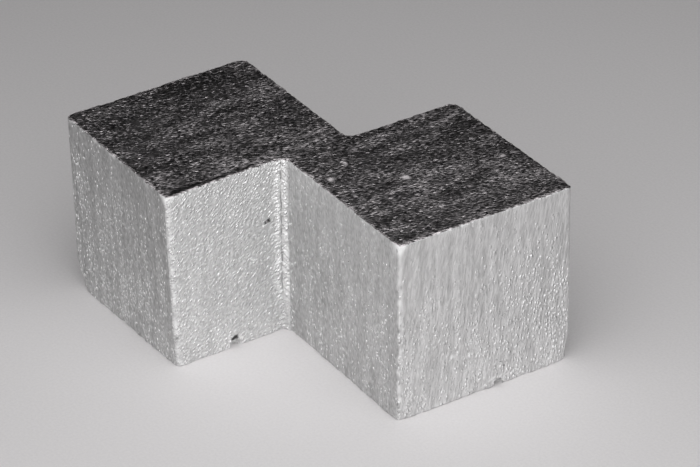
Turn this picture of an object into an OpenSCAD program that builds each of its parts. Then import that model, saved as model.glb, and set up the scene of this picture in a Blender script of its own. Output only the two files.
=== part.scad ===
// Cast aluminium ingot: two near-cubic blocks poured as one piece. The second block stands
// end to end with the first and is stepped sideways, so they share only part of an end face.
// X runs along both blocks, Y is the way the second one steps, and Z is up. The origin is
// under the middle of the whole ingot, on the face that it rests on.

/* [Blocks] */
// Height of the ingot
height = 50; // [30:1:80]
// Length of the first block
first_length = 49.4; // [35:0.2:70]
// Width of the first block
first_width = 52.3; // [45:0.1:70]
// Length of the second block
second_length = 51; // [35:0.2:70]
// Width of the second block
second_width = 50.8; // [40:0.2:70]
// How far the second block steps sideways
side_step = 33.4; // [15:0.2:36]

/* [Corners] */
// Radius of the crisp upright corners
crisp_corner_radius = 1.2; // [0.6:0.1:4]
// Radius of the blunt upright corners
blunt_corner_radius = 3; // [1:0.1:5]
// Radius of the fillet in the two inner corners
inner_corner_radius = 2.6; // [1:0.1:5]

/* [Edges] */
// Rounding of the crisp edges round the top face
top_round = 0.6; // [0.2:0.1:1.5]
// Rounding of the edges round the foot, where the metal met the floor of the mould
foot_round = 1.1; // [0.4:0.1:2]
// Extra upright radius that the bluntest corner gains at the foot
curl_radius = 4.5; // [0:0.1:8]
// Height over which the blunt corners gain it
curl_height = 12; // [4:0.5:20]

/* [Casting] */
// How far corners may wander from a true rectangle
wander = 0.5; // [0:0.1:1]
// How far the middle of a face has sunk as the metal shrank
face_sink = 0.25; // [0:0.05:0.6]

/* [Nicks] */
// Width of the nick at the foot of each end face
nick_width = 2.8; // [1.5:0.1:5]
// Height of the nick
nick_height = 1.9; // [1:0.1:3]
// Depth of the nick, in from the face
nick_depth = 3.2; // [1.5:0.1:6]
// Distance of the first block's nick from its free corner
first_nick_place = 17.8; // [8:0.2:25]
// Distance of the second block's nick from its free corner
second_nick_place = 30.4; // [8:0.2:36]

/* [Blow hole] */
// Diameter of the gas pit beside the inner corner
pit_width = 1.3; // [0.6:0.1:3]
// Height of the pit above the floor
pit_level = 34.5; // [10:0.5:45]
// Distance of the pit from the inner corner
pit_from_corner = 5.2; // [4:0.2:12]

/* [Hidden] */
cut_over = 1;
hollow_fn = 48;
corner_steps = 6;
side_steps = 6;
foot_steps = 5;
top_steps = 4;
curl_steps = 5;
wall_steps = 5;

// The outline's corners run anticlockwise from the first block's free corner: two of the
// first block, the front inner corner, three of the second block, the rear inner corner and
// the first block's last one. A list with a value for each corner, or for the face that
// starts there, keeps this order.
inner_x = first_length;
end_x = first_length + second_length;
far_y = side_step + second_width;
true_plan = [
    [0, 0],
    [inner_x, 0],
    [inner_x, side_step],
    [end_x, side_step],
    [end_x, far_y],
    [inner_x, far_y],
    [inner_x, first_width],
    [0, first_width],
];
corners = len(true_plan);

// Each corner's drift off the true plan, as shares of wander, at the top and at the foot.
top_drift_shares = [
    [0.8, -1.2], [0, -0.6], [-0.9, 1], [0, 1], [1, 0.2], [0.6, 0], [0.2, 0.2], [-0.6, 0.2]];
foot_drift_shares = [
    [-0.2, 0.6], [-0.2, 1.2], [-0.8, -0.2], [0, -1.4], [1.4, 0], [0.2, 0], [0, 0], [0, 0]];

// Upright radius of each corner under the top face, and at the foot.
top_radii = [
    blunt_corner_radius, crisp_corner_radius, inner_corner_radius, crisp_corner_radius,
    crisp_corner_radius, blunt_corner_radius, inner_corner_radius, blunt_corner_radius];
foot_radii = [
    blunt_corner_radius, crisp_corner_radius, inner_corner_radius, crisp_corner_radius,
    blunt_corner_radius, blunt_corner_radius, inner_corner_radius, blunt_corner_radius];
// Share of curl_radius that each corner gains at the foot.
curl_shares = [1, 0.15, 0, 0.15, 0.6, 0.6, 0, 0.8];
// Share of face_sink on the face that starts at each corner.
sink_shares = [0.6, 1, 1, 0.8, 0.8, 0.6, 0.6, 0.8];

function mix(a, b, t) = a + (b - a) * t;
function turned(v, angle) = [
    v[0] * cos(angle) - v[1] * sin(angle),
    v[0] * sin(angle) + v[1] * cos(angle)];
function left_of(v) = [-v[1], v[0]];
function unit(v) = v / norm(v);
function column(list, n) = [for (item = list) item[n]];
function spread_middle(values) = (min(values) + max(values)) / 2;

// The two inner corners are where the outline turns the other way.
function turn_at(i) = cross(
    true_plan[i] - true_plan[(i + corners - 1) % corners],
    true_plan[(i + 1) % corners] - true_plan[i]);
inner_corners = [for (i = [0:corners - 1]) if (turn_at(i) < 0) i];

top_plan = [for (i = [0:corners - 1]) true_plan[i] + wander * top_drift_shares[i]];
foot_plan = [for (i = [0:corners - 1]) true_plan[i] + wander * foot_drift_shares[i]];
both_plans = concat(top_plan, foot_plan);
plan_middle = [spread_middle(column(both_plans, 0)), spread_middle(column(both_plans, 1))];

wall_foot = foot_round;
curl_top = wall_foot + curl_height;
wall_top = height - top_round;

// A level is its height above the floor, and how far its outline is drawn in there.
levels = concat(
    [for (k = [0:foot_steps]) let (a = 90 * k / foot_steps)
        [foot_round * (1 - cos(a)), foot_round * (1 - sin(a))]],
    [for (k = [1:curl_steps]) [mix(wall_foot, curl_top, k / curl_steps), 0]],
    [for (k = [1:wall_steps]) [mix(curl_top, wall_top, k / wall_steps), 0]],
    [for (k = [1:top_steps]) let (a = 90 * k / top_steps)
        [mix(wall_top, height, sin(a)), top_round * (1 - cos(a))]]);

function corner_at(i, z) = mix(foot_plan[i], top_plan[i], z / height);
function corner_radius(i, z) =
    mix(foot_radii[i], top_radii[i], z / height)
    + (z < curl_top ? curl_radius * curl_shares[i] * (1 + cos(180 * z / curl_top)) / 2 : 0);

// One corner's arc at a level.
function corner_arc(i, level) =
    let (z = level[0],
         inset = level[1],
         here = corner_at(i, z),
         way_in = unit(here - corner_at((i + corners - 1) % corners, z)),
         way_out = unit(corner_at((i + 1) % corners, z) - here),
         turn = asin(way_in[0] * way_out[1] - way_in[1] * way_out[0]),
         side = sign(turn),
         bend = (way_in * way_out > 0 ? abs(turn) : 180 - abs(turn)),
         slant = left_of(way_in) + left_of(way_out),
         inset_corner = here + inset * slant / (1 + left_of(way_in) * left_of(way_out)),
         radius = max(corner_radius(i, z) - side * inset, top_round / 2),
         centre = inset_corner - way_in * radius * tan(bend / 2)
             + side * radius * left_of(way_in))
    [for (k = [0:corner_steps])
        let (p = centre + turned(-side * radius * left_of(way_in), side * bend * k / corner_steps))
        [p[0], p[1], z]];

// The points between two arcs, drawn in where the face has sunk.
function side_points(i, from, to) =
    let (inward = left_of(unit([to[0] - from[0], to[1] - from[1]])),
         climb = min(max((from[2] - wall_foot) / (wall_top - wall_foot), 0), 1),
         hollow = face_sink * sink_shares[i] * 4 * climb * (1 - climb))
    [for (k = [1:side_steps - 1])
        let (t = k / side_steps, drawn = inward * hollow * 4 * t * (1 - t))
        mix(from, to, t) + [drawn[0], drawn[1], 0]];

function ring(level) =
    let (arcs = [for (i = [0:corners - 1]) corner_arc(i, level)])
    [for (i = [0:corners - 1])
        each concat(arcs[i], side_points(i, arcs[i][corner_steps], arcs[(i + 1) % corners][0]))];

corner_span = corner_steps + side_steps;
ring_size = corners * corner_span;
function arc_middle(i) = i * corner_span + corner_steps / 2;
// Ring places from one arc middle on to another, the way the outline runs.
function places(from, to) =
    [for (k = [arc_middle(from):arc_middle(to) + (to > from ? 0 : ring_size)]) k % ring_size];

// The middle of each block's floor and top, from which its cap is fanned.
first_middle = [first_length / 2, first_width / 2];
second_middle = [first_length + second_length / 2, side_step + second_width / 2];

function cap(rim, middle_index, base, flip) =
    [for (k = [0:len(rim) - 1])
        let (a = base + rim[k], b = base + rim[(k + 1) % len(rim)])
        flip ? [middle_index, a, b] : [middle_index, b, a]];

module body() {
    rings = [for (level = levels) ring(level)];
    walls = [for (r = rings) each r];
    middles = [
        [first_middle[0], first_middle[1], 0], [second_middle[0], second_middle[1], 0],
        [first_middle[0], first_middle[1], height], [second_middle[0], second_middle[1], height]];
    last = len(levels) - 1;
    first_rim = places(inner_corners[1], inner_corners[0]);
    second_rim = places(inner_corners[0], inner_corners[1]);
    base = len(walls);
    skin = [for (r = [0:last - 1], k = [0:ring_size - 1])
        let (next = (k + 1) % ring_size, low = r * ring_size, high = low + ring_size)
        each [[low + k, high + k, high + next], [low + k, high + next, low + next]]];
    polyhedron(
        points = concat(walls, middles),
        faces = concat(
            skin,
            cap(first_rim, base, 0, true),
            cap(second_rim, base + 1, 0, true),
            cap(first_rim, base + 2, last * ring_size, false),
            cap(second_rim, base + 3, last * ring_size, false)),
        convexity = 6);
}

// A nick runs into the foot of an end face, narrowing as it goes.
module nick(face_x, y) {
    translate([face_x - nick_depth, y, nick_height - nick_width / 2])
        rotate([0, 90, 0])
            cylinder(
                h = nick_depth + cut_over,
                r1 = nick_width / 4,
                r2 = nick_width / 4 * (1 + (nick_depth + cut_over) / nick_depth),
                $fn = hollow_fn);
}

module gas_pit() {
    translate([inner_x, side_step - pit_from_corner, pit_level])
        sphere(d = pit_width, $fn = hollow_fn);
}

module ingot() {
    color([0.78, 0.78, 0.79])
        translate([-plan_middle[0], -plan_middle[1], 0])
            difference() {
                body();
                nick(inner_x, first_nick_place);
                nick(end_x, side_step + second_nick_place);
                gas_pit();
            }
}

ingot();
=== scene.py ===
# %% [markdown]
# # A stepped aluminium ingot
# This scene dresses a cast ingot: two blocks poured as one piece, the second stepped
# sideways. The CAD part holds its size and outline. Here it gets its skin: scraped and
# cobbled walls, a dark top, nibbled edges and the wrinkled seam in the inner corner.

# %% Load the frame
import math

import bmesh
import bpy
import numpy as np
from mathutils import Matrix, Vector, noise


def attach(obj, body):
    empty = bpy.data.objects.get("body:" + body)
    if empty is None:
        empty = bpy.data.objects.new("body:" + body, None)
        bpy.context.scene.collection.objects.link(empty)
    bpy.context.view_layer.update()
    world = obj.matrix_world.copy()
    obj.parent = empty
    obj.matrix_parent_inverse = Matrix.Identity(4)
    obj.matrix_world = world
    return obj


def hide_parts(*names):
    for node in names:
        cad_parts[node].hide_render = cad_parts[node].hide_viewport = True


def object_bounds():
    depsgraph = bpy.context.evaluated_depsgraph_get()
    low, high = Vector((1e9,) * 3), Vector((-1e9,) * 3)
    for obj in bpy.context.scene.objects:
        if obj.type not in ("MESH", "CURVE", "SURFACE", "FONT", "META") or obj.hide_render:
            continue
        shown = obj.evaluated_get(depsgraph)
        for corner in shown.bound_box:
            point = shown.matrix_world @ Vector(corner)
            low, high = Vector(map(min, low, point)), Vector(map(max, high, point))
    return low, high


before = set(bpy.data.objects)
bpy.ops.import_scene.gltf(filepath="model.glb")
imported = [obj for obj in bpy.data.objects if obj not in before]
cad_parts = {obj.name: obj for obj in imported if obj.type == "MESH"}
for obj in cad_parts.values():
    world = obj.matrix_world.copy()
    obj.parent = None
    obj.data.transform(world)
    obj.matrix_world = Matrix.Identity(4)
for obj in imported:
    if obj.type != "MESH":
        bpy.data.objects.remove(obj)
cad_low, cad_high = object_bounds()
MM = 0.001
print("CAD box in mm:", [round(edge / MM, 1) for edge in (*cad_low, *cad_high)])

# %% [markdown]
# ## Camera
# A small object is photographed from about a metre away with a long lens, so its sides
# hardly converge. The camera circles the middle of the ingot's box: azimuth and elevation
# say from where, roll is how far it was held off level, and the aim offset moves the ingot
# away from the middle of the picture, as the photographer framed it.

# %% Camera numbers
PHOTO_WIDTH_PX = 700
FOCAL_PX = 3841
CAMERA_AZIMUTH = math.radians(57.93)
CAMERA_ELEVATION = math.radians(31.51)
CAMERA_ROLL = math.radians(-1.38)
CAMERA_DISTANCE = 0.9647
AIM_RIGHT_PX = -33.1
AIM_UP_PX = -2.5
SENSOR_WIDTH_MM = 36
FAR_CLIP = 100
metre_per_px = CAMERA_DISTANCE / FOCAL_PX
print("one pixel at the ingot in mm:", round(metre_per_px / MM, 3))

# %% A direction from two angles


def towards(azimuth, elevation):
    """The unit vector from the ingot to a viewer at an azimuth and elevation."""
    level = math.cos(elevation)
    return Vector((math.sin(azimuth) * level, -math.cos(azimuth) * level, math.sin(elevation)))


print("towards the camera:", [round(part, 2) for part in towards(CAMERA_AZIMUTH, CAMERA_ELEVATION)])

# %% Put a thing in the scene


def put_in_scene(name, data):
    """A new object that shows a mesh, a lamp or a camera."""
    thing = bpy.data.objects.new(name, data)
    bpy.context.scene.collection.objects.link(thing)
    return thing


# %% Aim the camera


def aim_camera():
    """Makes the camera at the photograph's viewing angle."""
    middle = (cad_low + cad_high) / 2
    back = towards(CAMERA_AZIMUTH, CAMERA_ELEVATION)
    level_right = Vector((0, 0, 1)).cross(back).normalized()
    level_up = back.cross(level_right)
    turn, tilt = math.cos(CAMERA_ROLL), math.sin(CAMERA_ROLL)
    right = turn * level_right + tilt * level_up
    up = turn * level_up - tilt * level_right
    data = bpy.data.cameras.new("camera")
    data.sensor_width = SENSOR_WIDTH_MM
    data.lens = data.sensor_width * FOCAL_PX / PHOTO_WIDTH_PX
    data.clip_end = FAR_CLIP
    camera = put_in_scene("camera", data)
    place = Matrix((right, up, back)).transposed().to_4x4()
    place.translation = (
        middle
        + back * CAMERA_DISTANCE
        - right * AIM_RIGHT_PX * metre_per_px
        - up * AIM_UP_PX * metre_per_px
    )
    camera.matrix_world = place
    bpy.context.scene.camera = camera
    return camera


camera = aim_camera()
print("camera lens in mm:", round(camera.data.lens, 1))

# %% [markdown]
# ## The ingot's outline
# Seen from above the ingot is a Z of eight corners. The sizes are the CAD part's own, in
# millimetres, because the skin has to follow its faces. Only the two outermost corners are
# fuller and the foot is crisper than in the solid, by less than a millimetre. The outline
# could be read from the CAD mesh, but a skin needs rows of small even squares, and those
# come most easily from the rule that the outline follows.

# %% The outline's sizes
HEIGHT = 50
FIRST_LENGTH, FIRST_WIDTH = 49.4, 52.3
SECOND_LENGTH, SECOND_WIDTH = 51, 50.8
SIDE_STEP = 33.4
CRISP_RADIUS, FULL_RADIUS, BLUNT_RADIUS, INNER_RADIUS = 1.2, 1.8, 3, 2.6
TOP_ROUND, FOOT_ROUND = 0.6, 0.5
CURL_RADIUS, CURL_HEIGHT = 4.5, 9
WANDER, FACE_SINK = 0.5, 0.25
END_X = FIRST_LENGTH + SECOND_LENGTH
FAR_Y = SIDE_STEP + SECOND_WIDTH
CURL_TOP = FOOT_ROUND + CURL_HEIGHT
WALL_TOP = HEIGHT - TOP_ROUND

# %% The outline's eight corners
# Anticlockwise: two corners of the first block, the front inner corner, three of the
# second block, the rear inner corner, and the first block's last one.
TRUE_PLAN = np.array([
    [0, 0], [FIRST_LENGTH, 0], [FIRST_LENGTH, SIDE_STEP], [END_X, SIDE_STEP],
    [END_X, FAR_Y], [FIRST_LENGTH, FAR_Y], [FIRST_LENGTH, FIRST_WIDTH], [0, FIRST_WIDTH]])
TOP_DRIFT_SHARES = np.array([
    [-0.6, -1.2], [0, -0.6], [-0.9, 1], [0, 1], [1.4, 0.2], [0.6, 0], [0.2, 0.2], [-0.6, 0.2]])
FOOT_DRIFT_SHARES = np.array([
    [-0.6, -1.2], [-0.2, 1.2], [-0.8, -0.2], [0, -1.4], [1.4, 0.2], [0.2, 0], [0, 0], [0, 0]])
TOP_RADII = [
    FULL_RADIUS, CRISP_RADIUS, INNER_RADIUS, CRISP_RADIUS,
    CRISP_RADIUS, BLUNT_RADIUS, INNER_RADIUS, BLUNT_RADIUS]
FOOT_RADII = [
    FULL_RADIUS, CRISP_RADIUS, INNER_RADIUS, CRISP_RADIUS,
    FULL_RADIUS, BLUNT_RADIUS, INNER_RADIUS, BLUNT_RADIUS]
CURL_SHARES = [1, 0.15, 0, 0.15, 0.5, 0.6, 0, 0.8]
SINK_SHARES = [0.6, 1, 1, 0.8, 0.8, 0.6, 0.6, 0.8]
CORNERS = len(TRUE_PLAN)
FRONT_LEFT, FRONT_RIGHT, FRONT_INNER, NEAR, RIGHT, BACK_RIGHT, REAR_INNER, BACK = range(CORNERS)

top_plan = TRUE_PLAN + WANDER * TOP_DRIFT_SHARES
foot_plan = TRUE_PLAN + WANDER * FOOT_DRIFT_SHARES
both_plans = np.vstack([top_plan, foot_plan])
plan_middle = (both_plans.min(axis=0) + both_plans.max(axis=0)) / 2
print("outline in mm:", np.round(np.ptp(both_plans, axis=0), 1))

# %% [markdown]
# ## A ring of points at one height
# A wall is lofted through rings, which are outlines at rising heights. Every ring has the
# same number of points, so that point 100 of one ring joins point 100 of the next. Each
# corner is an arc, and the points between two arcs sink a little towards the middle of
# the face, where the metal shrank as it cooled.

# %% How many points each stretch of the outline has
CELL = 0.66
RING_GAP = 0.45
ARC_STEPS = [12, 8, 16, 8, 12, 12, 16, 12]
INNER_GAP = math.dist(TRUE_PLAN[FRONT_INNER], TRUE_PLAN[REAR_INNER])


def cells(length):
    """How many cells fit a length."""
    return round(length / CELL)


gap_cells = cells(INNER_GAP)
span_cells = [0] * CORNERS
span_cells[FRONT_LEFT] = span_cells[REAR_INNER] = cells(FIRST_LENGTH)
span_cells[FRONT_RIGHT] = cells(SIDE_STEP)
span_cells[FRONT_INNER] = span_cells[RIGHT] = cells(SECOND_LENGTH)
span_cells[BACK_RIGHT] = cells(FAR_Y - FIRST_WIDTH)
span_cells[NEAR] = span_cells[BACK_RIGHT] + gap_cells
span_cells[BACK] = span_cells[FRONT_RIGHT] + gap_cells
ring_size = sum(span_cells)
print("points in a ring:", ring_size)

# %% Mixes and turns


def mix(a, b, t):
    """The value at share t of the way from a to b."""
    return a + (b - a) * t


def left_of(v):
    """The direction to the left of a plan direction."""
    return np.array([-v[1], v[0]])


print("a quarter of the way up in mm:", mix(0, HEIGHT, 0.25))

# %% Where a corner stands, and how round it is


def corner_at(corner, z):
    """A sharp corner of the outline at a height."""
    return mix(foot_plan[corner % CORNERS], top_plan[corner % CORNERS], z / HEIGHT)


def corner_radius(corner, z):
    """Upright radius of a corner, which grows below the top of the curl."""
    curl = (1 + math.cos(math.pi * z / CURL_TOP)) / 2 if z < CURL_TOP else 0
    plain = mix(FOOT_RADII[corner], TOP_RADII[corner], z / HEIGHT)
    return plain + CURL_RADIUS * CURL_SHARES[corner] * curl


print("radius at the foot in mm:", [round(corner_radius(c, 0), 1) for c in range(CORNERS)])

# %% The arc of a corner


def corner_arc(corner, z, inset):
    """The points of one corner's arc."""
    here = corner_at(corner, z)
    way_in = here - corner_at(corner - 1, z)
    way_in /= np.linalg.norm(way_in)
    way_out = corner_at(corner + 1, z) - here
    way_out /= np.linalg.norm(way_out)
    turn = math.atan2(left_of(way_in) @ way_out, way_in @ way_out)
    side = math.copysign(1, turn)
    slant = left_of(way_in) + left_of(way_out)
    inset_corner = here + inset * slant / (1 + left_of(way_in) @ left_of(way_out))
    radius = max(corner_radius(corner, z) - side * inset, TOP_ROUND / 2)
    centre = (
        inset_corner
        - way_in * radius * math.tan(abs(turn) / 2)
        + side * radius * left_of(way_in)
    )
    angles = np.linspace(0, turn, ARC_STEPS[corner] + 1)[:, None]
    start = -side * radius * left_of(way_in)
    return centre + np.cos(angles) * start + np.sin(angles) * left_of(start)


print("points of the near corner:", len(corner_arc(NEAR, HEIGHT, 0)))

# %% A whole ring


def side_points(corner, start, end, z):
    """The points between two arcs."""
    steps = span_cells[corner] - (ARC_STEPS[corner] + ARC_STEPS[(corner + 1) % CORNERS]) // 2
    t = np.linspace(0, 1, steps + 1)[1:-1, None]
    climb = np.clip((z - FOOT_ROUND) / (WALL_TOP - FOOT_ROUND), 0, 1)
    sink = FACE_SINK * SINK_SHARES[corner] * 4 * climb * (1 - climb)
    inward = left_of(end - start) / np.linalg.norm(end - start)
    return mix(start, end, t) + inward * sink * 4 * t * (1 - t)


def ring(z, inset):
    """All points of the outline at a height, as rows of x, y and z."""
    arcs = [corner_arc(corner, z, inset) for corner in range(CORNERS)]
    stretches = []
    for corner, arc in enumerate(arcs):
        stretches += [arc, side_points(corner, arc[-1], arcs[(corner + 1) % CORNERS][0], z)]
    plan = np.vstack(stretches) - plan_middle
    return np.column_stack([plan, np.full(len(plan), z)])


print("points halfway up:", len(ring(HEIGHT / 2, 0)))

# %% The heights of the rings
FOOT_STEPS, TOP_STEPS = 4, 4
foot_angles = np.linspace(0, math.pi / 2, FOOT_STEPS + 1)
top_angles = np.linspace(0, math.pi / 2, TOP_STEPS + 1)[1:]
wall_rings = round((WALL_TOP - FOOT_ROUND) / RING_GAP)
wall_heights = np.linspace(FOOT_ROUND, WALL_TOP, wall_rings + 1)[1:]
levels = (
    [(FOOT_ROUND * (1 - math.cos(a)), FOOT_ROUND * (1 - math.sin(a))) for a in foot_angles]
    + [(z, 0) for z in wall_heights]
    + [(mix(WALL_TOP, HEIGHT, math.sin(a)), TOP_ROUND * (1 - math.cos(a))) for a in top_angles]
)
rings = np.array([ring(z, inset) for z, inset in levels])
print("rings, points, coordinates:", rings.shape)

# %% [markdown]
# ## Closing the top and the floor
# A cap of one big face would not bend, so each block's cap is a grid. It is filled
# between the four edges of the block by Coons's rule: add the two blends of opposite
# edges, and take away the blend of the corners. The two grids share the short line that
# runs between the inner corners.

# %% Places on a ring


def arc_middle(corner):
    """The ring place of the middle of a corner's arc."""
    start = sum(
        span_cells[c] + (ARC_STEPS[c] - ARC_STEPS[(c + 1) % CORNERS]) // 2 for c in range(corner))
    return start + ARC_STEPS[corner] // 2


def stretch(first, last):
    """Ring places from one arc's middle on to another's, the way the outline runs."""
    start, end = arc_middle(first), arc_middle(last)
    return np.arange(start, end + 1 + (ring_size if end < start else 0)) % ring_size


print("points along the front:", len(stretch(FRONT_LEFT, FRONT_RIGHT)))

# %% A grid between four edges


def coons(low, high, left, right):
    """Fills a grid between four edges. low and high run the same way, as left and right do."""
    u = np.linspace(0, 1, len(low))[None, :, None]
    v = np.linspace(0, 1, len(left))[:, None, None]
    across = mix(left[:, None], right[:, None], u)
    along = mix(low[None], high[None], v)
    corners = mix(mix(low[0], low[-1], u), mix(high[0], high[-1], u), v)
    return across + along - corners


two, three = np.zeros((2, 3)), np.zeros((3, 3))
print("a filled grid:", coons(two, two, three, three).shape)

# %% Grids of point numbers
points = list(rings.reshape(-1, 3))
quads = []


def add_grid(places, flip):
    """Adds the squares of a grid of point numbers."""
    a, b, c, d = places[:-1, :-1], places[:-1, 1:], places[1:, 1:], places[1:, :-1]
    order = (a, d, c, b) if flip else (a, b, c, d)
    quads.append(np.stack(order, axis=-1).reshape(-1, 4))


def add_patch(low, high, left, right, flip):
    """Adds one cap grid inside four edges of point numbers."""
    edges = [np.array([points[n] for n in edge]) for edge in (low, high, left, right)]
    filled = coons(*edges)
    places = np.zeros(filled.shape[:2], dtype=int)
    places[0], places[-1], places[:, 0], places[:, -1] = low, high, left, right
    inside = filled[1:-1, 1:-1]
    places[1:-1, 1:-1] = len(points) + np.arange(inside.shape[0] * inside.shape[1]).reshape(
        inside.shape[:2])
    points.extend(inside.reshape(-1, 3))
    add_grid(places, flip)


wall_places = np.arange(len(levels) * ring_size).reshape(len(levels), ring_size)
add_grid(np.column_stack([wall_places, wall_places[:, 0]]), False)
print("squares of the walls:", len(quads[0]))

# %% A cap on an end ring


def add_cap(ring_start, flip):
    """Adds both blocks' grids on one end ring."""
    def run(*corners):
        return np.concatenate([
            ring_start + stretch(a, b)[: -1 if b != corners[-1] else None]
            for a, b in zip(corners, corners[1:])])

    front, rear = ring_start + arc_middle(FRONT_INNER), ring_start + arc_middle(REAR_INNER)
    between = mix(points[front], points[rear], np.linspace(0, 1, gap_cells + 1)[1:-1, None])
    middle_line = np.concatenate([[front], len(points) + np.arange(len(between)), [rear]])
    points.extend(between)
    first_right = np.concatenate([run(FRONT_RIGHT, FRONT_INNER)[:-1], middle_line])
    second_left = np.concatenate([middle_line, run(BACK_RIGHT, REAR_INNER)[::-1][1:]])
    add_patch(
        run(FRONT_LEFT, FRONT_RIGHT), run(REAR_INNER, BACK)[::-1],
        run(BACK, FRONT_LEFT)[::-1], first_right, flip)
    add_patch(
        run(FRONT_INNER, NEAR), run(RIGHT, BACK_RIGHT)[::-1],
        second_left, run(NEAR, RIGHT), flip)


add_cap(0, True)
add_cap((len(levels) - 1) * ring_size, False)
base = np.array(points)
faces = np.vstack(quads)
print("points and squares of the skin:", len(base), len(faces))

# %% [markdown]
# ## Making the mesh
# The points and squares become one closed mesh, and Blender works out which way each
# point faces. Relief is a push along that direction.

# %% Build the mesh


def build_mesh(name, vertices, squares):
    """A smooth-shaded mesh from arrays of vertices in millimetres and squares."""
    mesh = bpy.data.meshes.new(name)
    mesh.vertices.add(len(vertices))
    mesh.vertices.foreach_set("co", (vertices * MM).ravel())
    mesh.loops.add(squares.size)
    mesh.loops.foreach_set("vertex_index", squares.ravel())
    mesh.polygons.add(len(squares))
    mesh.polygons.foreach_set("loop_start", np.arange(0, squares.size, 4))
    mesh.update(calc_edges=True)
    mesh.validate()
    mesh.shade_smooth()
    return mesh


mesh = build_mesh("cast_body", base, faces)
ingot = put_in_scene("cast_body", mesh)
normals = np.empty(len(base) * 3)
mesh.vertex_normals.foreach_get("vector", normals)
normals = normals.reshape(-1, 3)
print("upward points:", int((normals[:, 2] > 0.9).sum()))

# %% [markdown]
# ## Relief
# A cast skin is never flat. Slow waves come from the cooling, long streaks from the way the
# metal slid along the mould, and pebbles from the sand and soot that lay on it. Each is a
# noise with its own size in each direction, and each has its own height in millimetres.
# Displacement textures could do this too, but arrays let each face have its own mix.

# %% Noise and slopes
SEED_STEP = np.array([37.7, 61.3, 19.9])


def bumps(places, size, seed):
    """Smooth noise from about -0.8 to 0.8, with bumps of a size in millimetres."""
    scaled = places / np.asarray(size, dtype=float) + seed * SEED_STEP
    return np.array([noise.noise(place) for place in scaled.tolist()])


def ramp(values, zero_at, one_at):
    """0 on one side of a stretch of values, 1 on the other, and an even slope between."""
    return np.clip((values - zero_at) / (one_at - zero_at), 0, 1)


def mound(distance, width, power=2):
    """1 where the distance is 0, and next to nothing from twice the width on."""
    return np.exp(-(np.abs(distance / width) ** power))


print("noise along the foot:", bumps(base[:400], 6, 0).std().round(2))

# %% Which points are where
FACING = 0.2, 0.9
END_FADE, STEP_FADE = (2, 1.5), 2
x, y, z = base.T
up = ramp(normals[:, 2], *FACING)
down = ramp(-normals[:, 2], *FACING)
wall = 1 - up - down
ring_place = np.arange(len(base)) % ring_size
on_wall = np.arange(len(base)) < len(levels) * ring_size
inner_face_x = FIRST_LENGTH - plan_middle[0]
step_y = SIDE_STEP - plan_middle[1]
front_y = -plan_middle[1]
on_first_end = wall * ramp(np.abs(x - inner_face_x), *END_FADE) * ramp(y - step_y, 0, -STEP_FADE)
print("points on the walls, the top and the floor:", int(wall.sum()), int(up.sum()), int(down.sum()))

# %% Waves, streaks and pebbles
# Where each noise lies, its height and its size in millimetres.
SKIN_NOISES = [
    (1, 0.12, 16),
    (1, 0.06, 6),
    (wall * (1 - on_first_end), 0.05, (1.7, 1.7, 14)),
    (wall, 0.05, (1.4, 1.4, 2)),
    (up, 0.05, (1.3, 5, 5)),
    (up, 0.04, (1.2, 2, 2)),
]
relief = sum(
    where * height * bumps(base, size, seed)
    for seed, (where, height, size) in enumerate(SKIN_NOISES, 1))
print("relief in mm:", relief.min().round(2), relief.max().round(2))

# %% [markdown]
# ## The nibbled edges
# Where the top skin meets a wall, and where a wall meets the floor, the metal froze in small
# teeth. They are noise again, but only on the rings next to the edge. Wear and painted
# light are kept as one number a point, which the material reads: above 0 the metal is
# painted brighter, for wear and for painted highlights, below 0 it gets painted shade. The
# teeth of the top edge are worn a little.

# %% Top edge and foot
EDGE_REACH, TOOTH_HEIGHT, FOOT_TOOTH_HEIGHT = 0.9, 0.27, 0.3
TOOTH_SIZE, SMALL_TOOTH_SIZE, SMALL_TOOTH_SHARE = 1.3, 0.7, 0.6
WORN_TEETH, TOOTH_WEAR = (0.1, 0.6), 0.7
edge = on_wall * mound(z - HEIGHT, EDGE_REACH)
foot = on_wall * mound(z, EDGE_REACH)
teeth = bumps(base, TOOTH_SIZE, 7) + SMALL_TOOTH_SHARE * bumps(base, SMALL_TOOTH_SIZE, 8)
relief += (edge * TOOTH_HEIGHT + foot * FOOT_TOOTH_HEIGHT) * teeth
wear_and_painted_light = edge * ramp(teeth, *WORN_TEETH) * TOOTH_WEAR
print("worn points of the top edge:", int((wear_and_painted_light > 0.5).sum()))

# %% [markdown]
# ## Worn and highlighted upright edges
# The two crisp edges that stand nearest to the viewer carry a bright band, partly wear from
# handling and partly a painted highlight where the edge mirrors the bright paper. Their top
# corners are knocked a little rounder and carry a painted highlight of the lamp. A blunt
# edge has only specks of wear, because noise picks the places that stand proud of it.

# %% How far every point is from an upright edge


def from_edge(corner):
    """Distance in plan of every point from a corner's upright edge."""
    foot, head = foot_plan[corner] - plan_middle, top_plan[corner] - plan_middle
    climb = z / HEIGHT
    return np.hypot(x - mix(foot[0], head[0], climb), y - mix(foot[1], head[1], climb))


print("points near the front edge:", int((from_edge(FRONT_RIGHT) < 1.5).sum()))

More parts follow.
